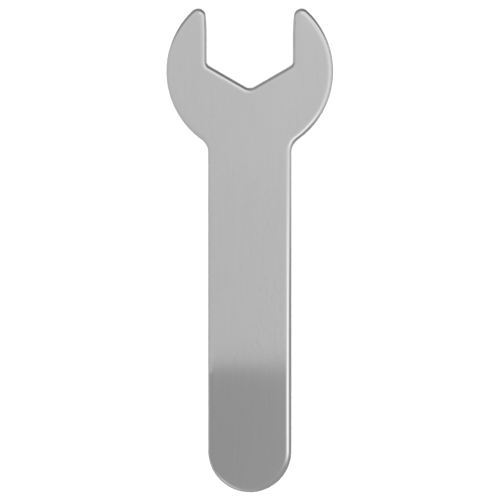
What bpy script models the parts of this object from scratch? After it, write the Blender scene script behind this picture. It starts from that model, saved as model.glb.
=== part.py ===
"""Open-end hydrant wrench, one flat steel plate with a rounded edge all round.

The wrench lies flat. +Z is the normal of its broad faces, +Y runs from the
handle to the mouth, and the origin is below the middle of its box, on the
surface that it lies on. Lengths are in metres, angles in degrees.
"""
import math

import bmesh
import bpy
from mathutils import Vector

# Driving dimensions
MOUTH_WIDTH = 0.0384            # between the two parallel jaw faces
MOUTH_OFFSET = 0.01415          # from the head's centre to the centre of the hexagon mouth
MOUTH_CORNER_RADIUS = 0.0023    # fillet where a jaw face meets the V-shaped seat
MOUTH_VERTEX_RADIUS = 0.0042    # fillet at the bottom of the V-shaped seat
LEAD_START = 0.0157             # from the head's centre to where the jaw faces start to open out
LEAD_RADIUS = 0.110             # the open-out curve, which guides the nut in
HEAD_RADIUS = 0.0370
TIP_RADIUS = 0.0034             # rounded end of each jaw
NECK_RADIUS = 0.0073            # fillet between the head and the handle
HANDLE_WIDTH = 0.0369
HANDLE_END_DISTANCE = 0.1683    # from the head's centre to the centre of the handle's round end
THICKNESS = 0.0095
EDGE_RADIUS = 0.0031            # round-over of every edge of the two broad faces

# Fineness of the faceted surface
CHORD_ERROR = 0.00003           # farthest that a straight facet lies from its arc
EDGE_SEGMENTS = 4               # facets across one round-over
EDGE_ANGLE_LIMIT = 60           # only edges sharper than this are rounded over

SEAT_SLOPE = 30                 # the flats of a hexagon seat rise at this angle to X


def direction(angle):
    """Unit vector in the XY plane at an angle from +X."""
    return Vector((math.cos(math.radians(angle)), math.sin(math.radians(angle))))


def angle_of(vector):
    """Angle of a vector in the XY plane from +X."""
    return math.degrees(math.atan2(vector.y, vector.x))


def arc(centre, radius, start, end):
    """Points along an arc, both ends included, as fine as CHORD_ERROR asks."""
    largest_step = math.degrees(2 * math.acos(1 - CHORD_ERROR / radius))
    segments = math.ceil(abs(end - start) / largest_step)
    angles = [start + (end - start) * i / segments for i in range(segments + 1)]
    return [centre + radius * direction(angle) for angle in angles]


def point_at_distances(origin, origin_distance, other, other_distance):
    """The point at these distances from both, on the left of the way from origin to other."""
    way = other - origin
    ahead = way.normalized()
    along = (origin_distance**2 - other_distance**2 + way.length_squared) / (2 * way.length)
    aside = math.sqrt(origin_distance**2 - along**2)
    return origin + along * ahead + aside * Vector((-ahead.y, ahead.x))


def half_outline():
    """The outline's +X half, from the bottom of the mouth round to the handle's end.

    The head's centre is at (0, 0). Each run between two arcs is a straight flat. The tip's
    and the head's arcs are split at their farthest points, so the facets keep the full size.
    """
    head_centre = Vector((0, 0))
    half_mouth = MOUTH_WIDTH / 2
    half_handle = HANDLE_WIDTH / 2
    slope = math.radians(SEAT_SLOPE)

    # The sharp bottom of the V lies one hexagon circumradius below the hexagon's centre.
    vertex_y = MOUTH_OFFSET - half_mouth / math.cos(slope)
    vertex_centre = Vector((0, vertex_y + MOUTH_VERTEX_RADIUS / math.cos(slope)))

    corner_y = vertex_y + half_mouth * math.tan(slope)
    corner_centre = Vector(
        (half_mouth - MOUTH_CORNER_RADIUS, corner_y + MOUTH_CORNER_RADIUS * math.tan(slope))
    )

    # The jaw's tip touches the open-out curve and the head's outer circle from inside.
    lead_centre = Vector((half_mouth + LEAD_RADIUS, LEAD_START))
    tip_centre = point_at_distances(
        head_centre, HEAD_RADIUS - TIP_RADIUS, lead_centre, LEAD_RADIUS - TIP_RADIUS
    )
    lead_angle = angle_of(tip_centre - lead_centre)
    tip_angle = angle_of(tip_centre)

    # The neck fillet touches the handle's side and the head's outer circle from outside.
    neck_x = half_handle + NECK_RADIUS
    neck_centre = Vector((neck_x, -math.sqrt((HEAD_RADIUS + NECK_RADIUS) ** 2 - neck_x**2)))
    neck_angle = angle_of(neck_centre)

    end_centre = Vector((0, -HANDLE_END_DISTANCE))

    return (
        arc(vertex_centre, MOUTH_VERTEX_RADIUS, -90, SEAT_SLOPE - 90)
        + arc(corner_centre, MOUTH_CORNER_RADIUS, SEAT_SLOPE - 90, 0)
        + arc(lead_centre, LEAD_RADIUS, 180, lead_angle)
        + arc(tip_centre, TIP_RADIUS, lead_angle, 90)[1:]
        + arc(tip_centre, TIP_RADIUS, 90, tip_angle)[1:]
        + arc(head_centre, HEAD_RADIUS, tip_angle, 0)[1:]
        + arc(head_centre, HEAD_RADIUS, 0, neck_angle)[1:]
        + arc(neck_centre, NECK_RADIUS, neck_angle + 180, 180)[1:]
        + arc(end_centre, half_handle, 0, -90)
    )


def full_outline():
    """The closed outline, clockwise from above, with the middle of its box at (0, 0)."""
    right = half_outline()
    left = [Vector((-point.x, point.y)) for point in reversed(right[1:-1])]
    points = right + left
    highest = max(point.y for point in points)
    lowest = min(point.y for point in points)
    middle = Vector((0, (highest + lowest) / 2))
    return [point - middle for point in points]


def steel():
    """Satin steel."""
    material = bpy.data.materials.new("steel")
    material.use_nodes = True
    shader = material.node_tree.nodes["Principled BSDF"]
    shader.inputs["Base Color"].default_value = (0.72, 0.72, 0.73, 1)
    shader.inputs["Metallic"].default_value = 1.0
    shader.inputs["Roughness"].default_value = 0.25
    return material


def plate(name, outline, material):
    """A plate with its lower face on Z = 0 and its edges rounded over."""
    shape = bmesh.new()
    face = shape.faces.new([shape.verts.new((point.x, point.y, 0)) for point in outline])
    face.smooth = True
    mesh = bpy.data.meshes.new(name)
    shape.to_mesh(mesh)
    shape.free()
    mesh.materials.append(material)

    body = bpy.data.objects.new(name, mesh)
    bpy.context.collection.objects.link(body)

    thicken = body.modifiers.new("thicken", "SOLIDIFY")
    thicken.thickness = THICKNESS
    thicken.offset = -1  # away from the face's normal, which points down

    round_over = body.modifiers.new("round_over", "BEVEL")
    round_over.width = EDGE_RADIUS
    round_over.segments = EDGE_SEGMENTS
    round_over.limit_method = "ANGLE"
    round_over.angle_limit = math.radians(EDGE_ANGLE_LIMIT)
    round_over.use_clamp_overlap = False  # the jaw tips keep the full round-over
    round_over.harden_normals = True
    return body


for leftover in list(bpy.data.objects):
    bpy.data.objects.remove(leftover)

plate("wrench_body", full_outline(), steel())
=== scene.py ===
"""Looks of the open-end hydrant wrench: one polished steel plate in a light tent.

The frame's +Z is the normal of the broad faces and +Y runs from the handle to the
mouth. Lengths are in metres, angles in degrees, light in scene-linear radiance.
"""
import math

import bpy
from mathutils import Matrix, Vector


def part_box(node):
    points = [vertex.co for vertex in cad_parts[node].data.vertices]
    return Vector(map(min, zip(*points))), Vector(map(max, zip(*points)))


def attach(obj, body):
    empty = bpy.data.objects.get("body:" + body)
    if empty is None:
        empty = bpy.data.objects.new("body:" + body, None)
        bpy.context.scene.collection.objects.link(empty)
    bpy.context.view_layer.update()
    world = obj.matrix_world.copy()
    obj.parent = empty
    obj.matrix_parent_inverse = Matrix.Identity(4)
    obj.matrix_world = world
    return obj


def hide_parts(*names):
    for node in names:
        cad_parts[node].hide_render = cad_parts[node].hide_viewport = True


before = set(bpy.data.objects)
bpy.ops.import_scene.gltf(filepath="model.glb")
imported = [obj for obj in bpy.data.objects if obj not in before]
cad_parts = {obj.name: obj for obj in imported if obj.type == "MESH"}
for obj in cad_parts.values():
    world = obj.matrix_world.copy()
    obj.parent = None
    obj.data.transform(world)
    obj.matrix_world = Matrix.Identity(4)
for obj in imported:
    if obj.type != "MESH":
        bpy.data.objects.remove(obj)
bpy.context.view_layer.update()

# The wrench, as in the CAD model
MOUTH_WIDTH = 0.0384
MOUTH_OFFSET = 0.01415          # from the head's centre to the centre of the hexagon mouth
MOUTH_CORNER_RADIUS = 0.0023
MOUTH_VERTEX_RADIUS = 0.0042
LEAD_START = 0.0157             # from the head's centre to where the jaw faces start to open out
LEAD_RADIUS = 0.110
HEAD_RADIUS = 0.0370
TIP_RADIUS = 0.0034
NECK_RADIUS = 0.0073
HANDLE_WIDTH = 0.0369
HANDLE_END_DISTANCE = 0.1683    # from the head's centre to the centre of the handle's round end
EDGE_RADIUS = 0.0031
SEAT_SLOPE = 30

# Fineness of the visible surface
CHORD_ERROR = 0.000003
EDGE_SEGMENTS = 16

# Steel. The cells of its noise are given as width, length and depth.
REFLECTANCE = 0.72
ROUGHNESS = 0.14
RELIEF_HEIGHT = 0.0000012       # between the surface's low and high places
CLOUD_CELL = (0.030, 0.055, 0.030)
STREAK_CELL = (0.0016, 0.060, 0.0016)
GRAIN_CELL = (0.0003, 0.024, 0.0003)
SCRATCH_CELL = (0.0002, 0.009, 0.0002)
SCRATCH_TURNS = (-34, -12, 9, 27, 63)   # directions of the hair scratches, from +Y
SCRATCH_NOISE = (0.685, 0.74)           # the noise at which a scratch starts, and is fully there
PATCH_CELL = (0.018, 0.018, 0.018)      # scratches gather in patches of about this size
PATCH_NOISE = (0.42, 0.62)              # the noise at which a patch starts, and is fully there
PATCH_LEAST = 0.15                      # how strong the scratches are between the patches

# How far each layer of the surface changes its tone, its roughness and its relief
TONE_WEIGHTS = {"clouds": 0.05, "streaks": 0.02, "grain": 0.04, "scratches": -0.05, "worn": 0.01}
ROUGHNESS_WEIGHTS = {"clouds": 0.07, "streaks": 0.04, "grain": 0.06, "scratches": 0.10, "worn": -0.03}
RELIEF_WEIGHTS = {"grain": 1.0, "streaks": 0.8, "scratches": -0.6}

# Camera
LENS_MM = 250                   # long, for a view with hardly any perspective
SENSOR_MM = 36
VIEW_MARGIN = 1.0334            # the view's height over the wrench's length
VIEW_SHIFT = (0.00009, 0.00015)  # from the wrench's middle to the view's middle, in X and Y

# Light tent: a tube along Y. Each span is (from, to) along Y, unless its comment says otherwise.
TENT_RADIUS = 0.120
TENT_SPAN = (-0.60, 0.60)
TENT_SIDES = 128
GAIN_PER_METRE = 0.45           # the upper tent grows brighter towards the mouth
LARGEST_GAIN = 1.08
FAR_LOW_FADE = (-0.16, -0.24)   # from the lower tent to the part beyond the handle's end
TOP_EDGE = (-0.0590, -0.0514)   # from the lower to the upper tent, overhead
SIDE_EDGE = (-0.058, 0.016)     # the same, on the right
SIDE_FADE = (22, 45)            # angles between which the top edge turns into the side edge
LATE_ANGLE = 75                 # beyond this angle the side edge starts later
LATE_PER_DEGREE = -0.0008       # added to the place along Y, for each degree beyond it
STRIP_START = (-0.148, -0.088)  # where the strip lamp grows bright
STRIP_END = (-0.065, 0.05)      # where it fades
STRIP_REST = 0.10               # what is left of the strip lamp after its end
OVERHEAD_START = (0.09, 0.20)   # where the overhead lamp grows bright
OPEN_END_MEAN = 0.165           # where the open end starts, level with the tent's axis
OPEN_END_RISE = 0.18            # how much farther it starts overhead
OPEN_END_TURN = 0.07            # radians, to the right of overhead, to where it starts farthest
OPEN_END_NEAREST = 0.130        # how near it may start
OPEN_END_FADE = (-0.022, 0.022)  # counted from its start

# Radiance round the tent, as (angle, radiance): 0 is overhead, positive is to the right
UPPER_TENT = (
    (-180, 0.40), (-150, 0.50), (-114, 0.57), (-70, 0.635), (-10, 0.635), (20, 0.66), (50, 0.68),
    (66, 0.77), (80, 0.86), (91, 0.72), (106, 0.60), (120, 0.50), (180, 0.40),
)
LOWER_TENT = (
    (-180, 0.60), (-140, 0.52), (-112, 0.46), (-96, 0.40), (-86, 0.365), (-70, 0.375), (0, 0.386),
    (16, 0.41), (34, 0.44), (56, 0.40), (80, 0.385), (100, 0.36), (180, 0.38),
)
FAR_LOW_TENT = (
    (-180, 0.42), (-130, 0.46), (-114, 0.58), (-96, 0.74), (-80, 0.72), (-66, 0.53), (-50, 0.41),
    (0, 0.40), (180, 0.37),
)
OPEN_END = (
    (-180, 0.36), (-120, 0.34), (-85, 0.34), (-60, 0.42), (-30, 0.60), (10, 0.52), (40, 0.42),
    (70, 0.30), (95, 0.24), (130, 0.24), (180, 0.32),
)
STRIP_LAMP = (
    (-180, 0.0), (12, 0.0), (26, 0.03), (38, 0.22), (47, 0.56), (56, 0.84), (64, 0.96), (71, 0.90),
    (78, 0.44), (85, 0.06), (90, 0.0), (180, 0.0),
)
OVERHEAD_LAMP = (
    (-180, 0.0), (-14, 0.0), (4, 0.14), (22, 0.26), (40, 0.26), (62, 0.0), (180, 0.0),
)

# Pale fin inside the tent
FIN_PLACE = -0.056              # along Y
FIN_ACROSS = (-0.120, -0.066)
FIN_UP = (-0.08, 0.09)
FIN_RADIANCE = 0.60

# Room and floor
ROOM_SEEN = 1.2                 # radiance of the room behind the floor
ROOM_LIGHT = 0.8                # radiance that lights the floor
ROOM_REFLECTED = (0.48, 0.28)   # radiance in reflections, towards the handle and towards the mouth
ROOM_FADE = (-0.5, 0.5)         # the Y directions between which one turns into the other
FLOOR_RADIUS = 12
FLOOR_SIDES = 96
FLOOR_GAP = 0.0001              # keeps the floor off the wrench's lower face
FLOOR_GREY = 0.9                # share of the light that the floor sends back
FILL_ENERGY = 2.4
FILL_ANGLE = 60

lowest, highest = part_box("wrench_body")
THICKNESS = highest.z - lowest.z


# ---------------------------------------------------------------- the wrench


def direction(angle):
    """Unit vector in the XY plane at an angle from +X."""
    return Vector((math.cos(math.radians(angle)), math.sin(math.radians(angle))))


def angle_of(vector):
    """Angle of a vector in the XY plane from +X."""
    return math.degrees(math.atan2(vector.y, vector.x))


def arc(centre, radius, start, end, outward):
    """(point, normal) pairs along an arc, whose normals leave its centre or, if not outward, meet it."""
    largest_step = math.degrees(2 * math.acos(1 - CHORD_ERROR / radius))
    segments = math.ceil(abs(end - start) / largest_step)
    sign = 1 if outward else -1
    pairs = []
    for i in range(segments + 1):
        ray = direction(start + (end - start) * i / segments)
        pairs.append((centre + radius * ray, sign * ray))
    return pairs


def point_at_distances(origin, origin_distance, other, other_distance):
    """The point at these distances from both, on the left of the way from origin to other."""
    way = other - origin
    ahead = way.normalized()
    along = (origin_distance**2 - other_distance**2 + way.length_squared) / (2 * way.length)
    aside = math.sqrt(origin_distance**2 - along**2)
    return origin + along * ahead + aside * Vector((-ahead.y, ahead.x))


def half_outline():
    """(point, normal) pairs of the +X half, from the bottom of the mouth to the handle's end."""
    head_centre = Vector((0, 0))
    half_mouth = MOUTH_WIDTH / 2
    half_handle = HANDLE_WIDTH / 2
    slope = math.radians(SEAT_SLOPE)

    # The V-shaped seat
    vertex_y = MOUTH_OFFSET - half_mouth / math.cos(slope)
    vertex_centre = Vector((0, vertex_y + MOUTH_VERTEX_RADIUS / math.cos(slope)))

    corner_y = vertex_y + half_mouth * math.tan(slope)
    corner_centre = Vector(
        (half_mouth - MOUTH_CORNER_RADIUS, corner_y + MOUTH_CORNER_RADIUS * math.tan(slope))
    )

    # The jaw's tip touches the open-out curve and the head's outer circle from inside.
    lead_centre = Vector((half_mouth + LEAD_RADIUS, LEAD_START))
    tip_centre = point_at_distances(
        head_centre, HEAD_RADIUS - TIP_RADIUS, lead_centre, LEAD_RADIUS - TIP_RADIUS
    )
    lead_angle = angle_of(tip_centre - lead_centre)
    tip_angle = angle_of(tip_centre)

    # The neck fillet touches the handle's side and the head's outer circle from outside.
    neck_x = half_handle + NECK_RADIUS
    neck_centre = Vector((neck_x, -math.sqrt((HEAD_RADIUS + NECK_RADIUS) ** 2 - neck_x**2)))
    neck_angle = angle_of(neck_centre)

    end_centre = Vector((0, -HANDLE_END_DISTANCE))

    return (
        arc(vertex_centre, MOUTH_VERTEX_RADIUS, -90, SEAT_SLOPE - 90, False)
        + arc(corner_centre, MOUTH_CORNER_RADIUS, SEAT_SLOPE - 90, 0, False)
        + arc(lead_centre, LEAD_RADIUS, 180, lead_angle, True)
        + arc(tip_centre, TIP_RADIUS, lead_angle, 90, True)[1:]
        + arc(tip_centre, TIP_RADIUS, 90, tip_angle, True)[1:]
        + arc(head_centre, HEAD_RADIUS, tip_angle, 0, True)[1:]
        + arc(head_centre, HEAD_RADIUS, 0, neck_angle, True)[1:]
        + arc(neck_centre, NECK_RADIUS, neck_angle + 180, 180, False)[1:]
        + arc(end_centre, half_handle, 0, -90, True)
    )


def full_outline():
    """The closed outline, clockwise from above, centred on the frame's Z axis."""
    right = half_outline()
    left = [
        (Vector((-point.x, point.y)), Vector((-normal.x, normal.y)))
        for point, normal in reversed(right[1:-1])
    ]
    pairs = right + left
    heights = [point.y for point, normal in pairs]
    middle = Vector((0, (max(heights) + min(heights)) / 2))
    return [(point - middle, normal) for point, normal in pairs]


def edge_section():
    """(inset, height, slope) up the plate's rounded edge, where slope is 0 on the flank, 90 on top."""
    upper = []
    for i in range(EDGE_SEGMENTS + 1):
        slope = 90 * i / EDGE_SEGMENTS
        inset = EDGE_RADIUS * (1 - math.cos(math.radians(slope)))
        rise = EDGE_RADIUS * math.sin(math.radians(slope))
        upper.append((inset, THICKNESS - EDGE_RADIUS + rise, slope))
    lower = [(inset, THICKNESS - height, -slope) for inset, height, slope in reversed(upper)]
    return lower + upper


def wrench_mesh(name):
    """The plate as rings up its rounded edge, closed by two flat faces, with exact normals."""
    outline = full_outline()
    section = edge_section()
    count = len(outline)
    points = []
    normals = []
    roundness = []
    for inset, height, slope in section:
        across = math.cos(math.radians(slope))
        for point, normal in outline:
            place = point - inset * normal
            points.append((place.x, place.y, lowest.z + height))
            normals.append((normal.x * across, normal.y * across, math.sin(math.radians(slope))))
            roundness.append(math.sin(math.radians(2 * abs(slope))))

    faces = []
    for ring in range(len(section) - 1):
        for i in range(count):
            j = (i + 1) % count
            low = ring * count
            high = low + count
            faces.append((low + i, high + i, high + j, low + j))
    faces.append(tuple(range(count)))
    top = (len(section) - 1) * count
    faces.append(tuple(reversed(range(top, top + count))))

    mesh = bpy.data.meshes.new(name)
    mesh.from_pydata(points, [], faces)
    mesh.attributes.new("roundness", "FLOAT", "POINT").data.foreach_set("value", roundness)
    mesh.shade_smooth()
    mesh.normals_split_custom_set_from_vertices(normals)
    return mesh


# -------------------------------------------------------------- node helpers


def set_input(tree, socket, value):
    """Give an input its value, which is another node's socket or a number."""
    if isinstance(value, bpy.types.NodeSocket):
        tree.links.new(value, socket)
    else:
        socket.default_value = value


def coordinate_nodes(tree, kind):
    """Texture coordinates of this kind. Returns the sockets of X, Y and Z."""
    coordinates = tree.nodes.new("ShaderNodeTexCoord")
    split = tree.nodes.new("ShaderNodeSeparateXYZ")
    tree.links.new(coordinates.outputs[kind], split.inputs[0])
    return split.outputs["X"], split.outputs["Y"], split.outputs["Z"]


def value_node(tree, operation, *values):
    """A Math node, whose inputs are sockets or numbers. Returns its output socket."""
    node = tree.nodes.new("ShaderNodeMath")
    node.operation = operation
    for socket, value in zip(node.inputs, values):
        set_input(tree, socket, value)
    return node.outputs[0]


def step_node(tree, value, start, end, low=0.0, high=1.0):
    """Goes smoothly from low, where value is start, to high, where it is end."""
    node = tree.nodes.new("ShaderNodeMapRange")
    node.interpolation_type = "SMOOTHSTEP"
    tree.links.new(value, node.inputs["Value"])
    node.inputs["From Min"].default_value = start
    node.inputs["From Max"].default_value = end
    node.inputs["To Min"].default_value = low
    node.inputs["To Max"].default_value = high
    return node.outputs["Result"]


def blend_node(tree, share, first, second):
    """first where share is 0, second where it is 1."""
    node = tree.nodes.new("ShaderNodeMix")
    node.data_type = "FLOAT"
    tree.links.new(share, node.inputs["Factor"])
    for name, value in (("A", first), ("B", second)):
        set_input(tree, node.inputs[name], value)
    return node.outputs["Result"]


def weighted_node(tree, start, layers, weights):
    """start plus each layer times its weight."""
    total = start
    for name, weight in weights.items():
        total = value_node(tree, "MULTIPLY_ADD", layers[name], weight, total)
    return total


def profile_node(tree, angle, stops):
    """Radiance as a smooth curve through (angle, radiance) stops, from -180 to 180 degrees."""
    share = tree.nodes.new("ShaderNodeMapRange")
    tree.links.new(angle, share.inputs["Value"])
    share.inputs["From Min"].default_value = -180
    share.inputs["From Max"].default_value = 180
    ramp = tree.nodes.new("ShaderNodeValToRGB")
    ramp.color_ramp.interpolation = "EASE"
    elements = ramp.color_ramp.elements
    while len(elements) > 1:
        elements.remove(elements[-1])
    for i, (stop, radiance) in enumerate(stops):
        position = (stop + 180) / 360
        element = elements[0] if i == 0 else elements.new(position)
        element.position = position
        element.color = (radiance, radiance, radiance, 1)
    tree.links.new(share.outputs["Result"], ramp.inputs[0])
    return ramp.outputs["Color"]


# ------------------------------------------------------------------ material


def noise_node(tree, place, cell, turn=0.0, detail=2.0):
    """Noise of about 0 to 1, in cells of this size whose long side is turned from +Y."""
    mapping = tree.nodes.new("ShaderNodeMapping")
    mapping.vector_type = "TEXTURE"
    tree.links.new(place, mapping.inputs["Vector"])
    mapping.inputs["Rotation"].default_value = (0, 0, math.radians(turn))
    mapping.inputs["Scale"].default_value = cell
    noise = tree.nodes.new("ShaderNodeTexNoise")
    tree.links.new(mapping.outputs["Vector"], noise.inputs["Vector"])
    noise.inputs["Scale"].default_value = 1.0
    noise.inputs["Detail"].default_value = detail
    return noise.outputs[0]


def scratches_node(tree, place):
    """1 on sparse hair scratches in a few directions, gathered in patches, 0 elsewhere."""
    marks = 0.0
    for turn in SCRATCH_TURNS:
        lines = noise_node(tree, place, SCRATCH_CELL, turn, detail=1.0)
        marks = value_node(tree, "MAXIMUM", step_node(tree, lines, *SCRATCH_NOISE), marks)
    patches = step_node(tree, noise_node(tree, place, PATCH_CELL), *PATCH_NOISE, low=PATCH_LEAST)
    return value_node(tree, "MULTIPLY", marks, patches)


def surface_layers(tree):
    """The layers of the steel's surface by name. Noise lies about 0, marks and wear go from 0 to 1."""
    place = tree.nodes.new("ShaderNodeTexCoord").outputs["Object"]
    rounded = tree.nodes.new("ShaderNodeAttribute")
    rounded.attribute_name = "roundness"
    return {
        "clouds": value_node(tree, "SUBTRACT", noise_node(tree, place, CLOUD_CELL, detail=3.0), 0.5),
        "streaks": value_node(tree, "SUBTRACT", noise_node(tree, place, STREAK_CELL), 0.5),
        "grain": value_node(tree, "SUBTRACT", noise_node(tree, place, GRAIN_CELL, detail=3.0), 0.5),
        "scratches": scratches_node(tree, place),
        "worn": rounded.outputs["Fac"],
    }


def polished_steel():
    """Steel polished lengthwise: fine grain and streaks, faint clouds, hair scratches, brighter edges."""
    material = bpy.data.materials.new("polished_steel")
    material.use_nodes = True
    tree = material.node_tree
    shader = tree.nodes["Principled BSDF"]
    shader.inputs["Metallic"].default_value = 1.0
    layers = surface_layers(tree)

    colour = tree.nodes.new("ShaderNodeCombineColor")
    tone = weighted_node(tree, REFLECTANCE, layers, TONE_WEIGHTS)
    for channel in ("Red", "Green", "Blue"):
        tree.links.new(tone, colour.inputs[channel])
    tree.links.new(colour.outputs["Color"], shader.inputs["Base Color"])

    roughness = weighted_node(tree, ROUGHNESS, layers, ROUGHNESS_WEIGHTS)
    tree.links.new(roughness, shader.inputs["Roughness"])

    bump = tree.nodes.new("ShaderNodeBump")
    bump.inputs["Distance"].default_value = RELIEF_HEIGHT
    relief = weighted_node(tree, 0.0, layers, RELIEF_WEIGHTS)
    tree.links.new(relief, bump.inputs["Height"])
    tree.links.new(bump.outputs["Normal"], shader.inputs["Normal"])
    return material


# -------------------------------------------------------------------- studio


def emitter_material(name):
    """A material that only sends light. Returns it, its node tree and the input for its radiance."""
    material = bpy.data.materials.new(name)
    material.use_nodes = True
    tree = material.node_tree
    tree.nodes.clear()
    emission = tree.nodes.new("ShaderNodeEmission")
    output = tree.nodes.new("ShaderNodeOutputMaterial")
    tree.links.new(emission.outputs[0], output.inputs["Surface"])
    return material, tree, emission.inputs["Strength"]


def upper_tent_node(tree, angle, along):
    """Radiance over the head and the upper handle."""
    gain = value_node(tree, "MULTIPLY_ADD", along, GAIN_PER_METRE, 1.0)
    gain = value_node(tree, "MINIMUM", gain, LARGEST_GAIN)
    return value_node(tree, "MULTIPLY", profile_node(tree, angle, UPPER_TENT), gain)


def lower_tent_node(tree, angle, along):
    """Radiance over the lower handle, and beyond its end."""
    near = profile_node(tree, angle, LOWER_TENT)
    far = profile_node(tree, angle, FAR_LOW_TENT)
    return blend_node(tree, step_node(tree, along, *FAR_LOW_FADE), near, far)


def upper_share_node(tree, angle, along):
    """0 in the lower tent, 1 in the upper one: a sharp line overhead, a long fade on the right."""
    top_share = step_node(tree, along, *TOP_EDGE)
    beyond = value_node(tree, "MAXIMUM", value_node(tree, "SUBTRACT", angle, LATE_ANGLE), 0.0)
    late = value_node(tree, "MULTIPLY_ADD", beyond, LATE_PER_DEGREE, along)
    side_share = step_node(tree, late, *SIDE_EDGE)
    return blend_node(tree, step_node(tree, angle, *SIDE_FADE), top_share, side_share)


def strip_lamp_node(tree, angle, along):
    """Radiance of a strip lamp on the right of the handle."""
    started = step_node(tree, along, *STRIP_START)
    left_over = step_node(tree, along, *STRIP_END, low=1.0, high=STRIP_REST)
    share = value_node(tree, "MULTIPLY", started, left_over)
    return value_node(tree, "MULTIPLY", profile_node(tree, angle, STRIP_LAMP), share)


def overhead_lamp_node(tree, angle, along):
    """Radiance of a lamp overhead, from the mouth on."""
    share = step_node(tree, along, *OVERHEAD_START)
    return value_node(tree, "MULTIPLY", profile_node(tree, angle, OVERHEAD_LAMP), share)


def open_share_node(tree, turn, along):
    """1 in the open end beyond the mouth, which reaches nearest low down on both sides."""
    height = value_node(tree, "COSINE", value_node(tree, "SUBTRACT", turn, OPEN_END_TURN))
    start = value_node(tree, "MULTIPLY_ADD", height, OPEN_END_RISE, OPEN_END_MEAN)
    start = value_node(tree, "MAXIMUM", start, OPEN_END_NEAREST)
    return step_node(tree, value_node(tree, "SUBTRACT", along, start), *OPEN_END_FADE)


def tent_material():
    """The light that the tent's inner side sends, by the angle round its axis and the place along it."""
    material, tree, radiance_input = emitter_material("tent")
    across, along, up = coordinate_nodes(tree, "Object")
    turn = value_node(tree, "ARCTAN2", across, up)
    angle = value_node(tree, "DEGREES", turn)

    radiance = blend_node(
        tree,
        upper_share_node(tree, angle, along),
        lower_tent_node(tree, angle, along),
        upper_tent_node(tree, angle, along),
    )
    radiance = value_node(tree, "ADD", radiance, strip_lamp_node(tree, angle, along))
    radiance = value_node(tree, "ADD", radiance, overhead_lamp_node(tree, angle, along))
    open_end = profile_node(tree, angle, OPEN_END)
    radiance = blend_node(tree, open_share_node(tree, turn, along), radiance, open_end)
    tree.links.new(radiance, radiance_input)
    return material


def only_reflected(body):
    """Centre a light source on the broad face, for the steel's reflections alone."""
    body.location.z = highest.z
    body.visible_camera = False
    body.visible_diffuse = False
    body.visible_shadow = False


def tent():
    """A tube of light round the wrench, which only its reflections show."""
    start, end = TENT_SPAN
    points = []
    for i in range(TENT_SIDES):
        turn = 2 * math.pi * i / TENT_SIDES
        x = TENT_RADIUS * math.sin(turn)
        z = TENT_RADIUS * math.cos(turn)
        points += [(x, start, z), (x, end, z)]
    faces = []
    for i in range(TENT_SIDES):
        j = (i + 1) % TENT_SIDES
        faces.append((2 * i, 2 * i + 1, 2 * j + 1, 2 * j))
    mesh = bpy.data.meshes.new("tent")
    mesh.from_pydata(points, [], faces)
    mesh.materials.append(tent_material())
    body = bpy.data.objects.new("tent", mesh)
    bpy.context.collection.objects.link(body)
    only_reflected(body)


def fin():
    """A pale panel across the tent's left side, which keeps the dark lower tent out of the left neck."""
    material, _, radiance_input = emitter_material("fin")
    radiance_input.default_value = FIN_RADIANCE

    (inner, outer), (bottom, top) = FIN_ACROSS, FIN_UP
    corners = [(inner, bottom), (outer, bottom), (outer, top), (inner, top)]
    mesh = bpy.data.meshes.new("fin")
    mesh.from_pydata([(x, FIN_PLACE, z) for x, z in corners], [], [(0, 1, 2, 3)])
    mesh.materials.append(material)
    body = bpy.data.objects.new("fin", mesh)
    bpy.context.collection.objects.link(body)
    only_reflected(body)


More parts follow.
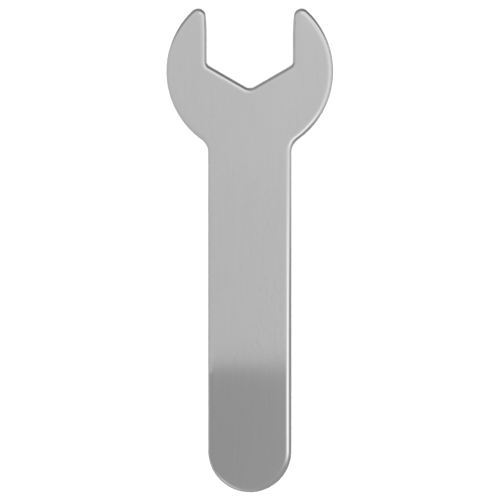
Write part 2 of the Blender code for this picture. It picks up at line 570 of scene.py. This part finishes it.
def floor():
    """A pale floor just below the wrench."""
    bpy.ops.mesh.primitive_circle_add(vertices=FLOOR_SIDES, radius=FLOOR_RADIUS, fill_type="NGON")
    body = bpy.context.object
    body.name = "floor"
    body.location.z = lowest.z - FLOOR_GAP
    body.visible_glossy = False
    material = bpy.data.materials.new("floor")
    material.use_nodes = True
    shader = material.node_tree.nodes["Principled BSDF"]
    shader.inputs["Base Color"].default_value = (FLOOR_GREY, FLOOR_GREY, FLOOR_GREY, 1)
    shader.inputs["Roughness"].default_value = 1.0
    shader.inputs["Specular IOR Level"].default_value = 0.0
    body.data.materials.append(material)


def sky():
    """The room: white behind the floor, soft light on it, and grey in the steel's reflections."""
    world = bpy.data.worlds.new("room")
    bpy.context.scene.world = world
    world.use_nodes = True
    tree = world.node_tree
    background = tree.nodes["Background"]
    background.inputs["Color"].default_value = (1, 1, 1, 1)
    _, along, _ = coordinate_nodes(tree, "Generated")
    reflected = step_node(tree, along, *ROOM_FADE, *ROOM_REFLECTED)
    path = tree.nodes.new("ShaderNodeLightPath")
    unseen = blend_node(tree, path.outputs["Is Glossy Ray"], ROOM_LIGHT, reflected)
    strength = blend_node(tree, path.outputs["Is Camera Ray"], unseen, ROOM_SEEN)
    tree.links.new(strength, background.inputs["Strength"])


def fill_light():
    """Soft light without shadows, which lifts the floor to white."""
    light = bpy.data.lights.new("fill", "SUN")
    light.energy = FILL_ENERGY
    light.angle = math.radians(FILL_ANGLE)
    light.use_shadow = False
    light.specular_factor = 0.0
    lamp = bpy.data.objects.new("fill", light)
    bpy.context.collection.objects.link(lamp)
    lamp.visible_glossy = False


def camera():
    """Square on to the broad face, straight above the middle of the wrench."""
    data = bpy.data.cameras.new("camera")
    data.lens = LENS_MM
    data.sensor_width = SENSOR_MM
    view_height = VIEW_MARGIN * (highest.y - lowest.y)
    body = bpy.data.objects.new("camera", data)
    bpy.context.collection.objects.link(body)
    middle = (lowest + highest) / 2
    widest = highest.z - EDGE_RADIUS
    distance = view_height * LENS_MM / SENSOR_MM
    body.location = (middle.x + VIEW_SHIFT[0], middle.y + VIEW_SHIFT[1], widest + distance)
    bpy.context.scene.camera = body


# --------------------------------------------------------------------- build

wrench = bpy.data.objects.new("wrench", wrench_mesh("wrench"))
bpy.context.collection.objects.link(wrench)
wrench.data.materials.append(polished_steel())
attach(wrench, "root")
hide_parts("wrench_body")

tent()
fin()
floor()
sky()
fill_light()
camera()
bpy.context.scene.view_settings.view_transform = "Standard"
